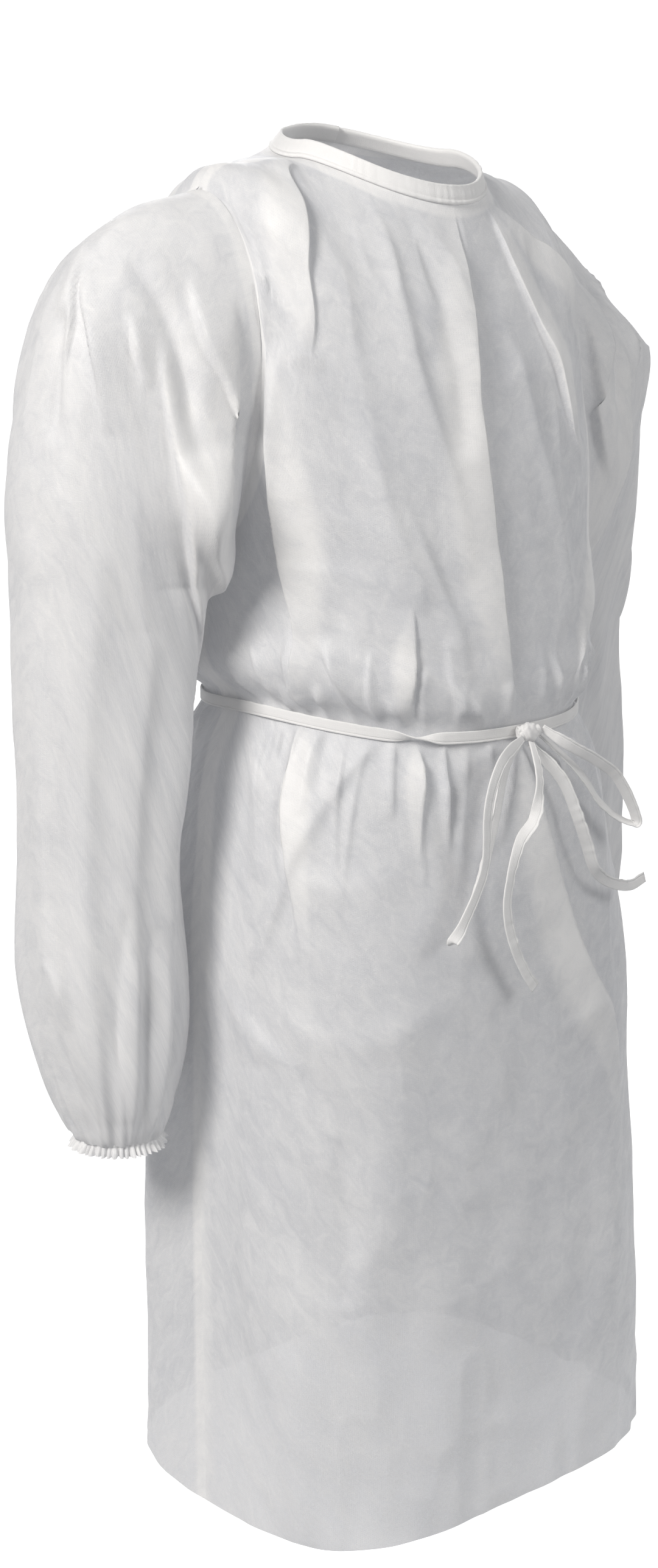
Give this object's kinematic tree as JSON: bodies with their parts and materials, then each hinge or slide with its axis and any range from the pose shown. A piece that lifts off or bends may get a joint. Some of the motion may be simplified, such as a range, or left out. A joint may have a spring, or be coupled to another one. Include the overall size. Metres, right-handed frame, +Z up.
{
  "type": "medical gown",
  "caption": "Long-sleeved nonwoven isolation gown in its worn form, with bound round neck, gathered elastic cuffs, an overlapping open back and a tied waist belt.",
  "frame": {"origin": "middle of the neck opening, level with the sides of the wearer's neck", "axes": "+Z up along the wearer's spine, -Y the way the wearer faces, +X to the wearer's left"},
  "size_m": [0.6341, 0.3314, 1.0787],
  "materials": {
    "panel_cloth": "translucent white spunbond nonwoven with a fine bonded dot emboss",
    "tape_cloth": "the same nonwoven, folded to several layers"
  },
  "bodies": {
    "root": {"front": "panel_cloth", "back_left": "panel_cloth", "back_right": "panel_cloth", "sleeve_left": "panel_cloth", "sleeve_right": "panel_cloth", "neck_binding": "tape_cloth", "cuff_left": "panel_cloth", "cuff_right": "panel_cloth", "belt": "tape_cloth", "bow_knot": "tape_cloth", "bow_loop_left": "tape_cloth", "bow_loop_right": "tape_cloth", "bow_tail_middle": "tape_cloth", "bow_tail_right": "tape_cloth"}
  },
  "joints": []
}
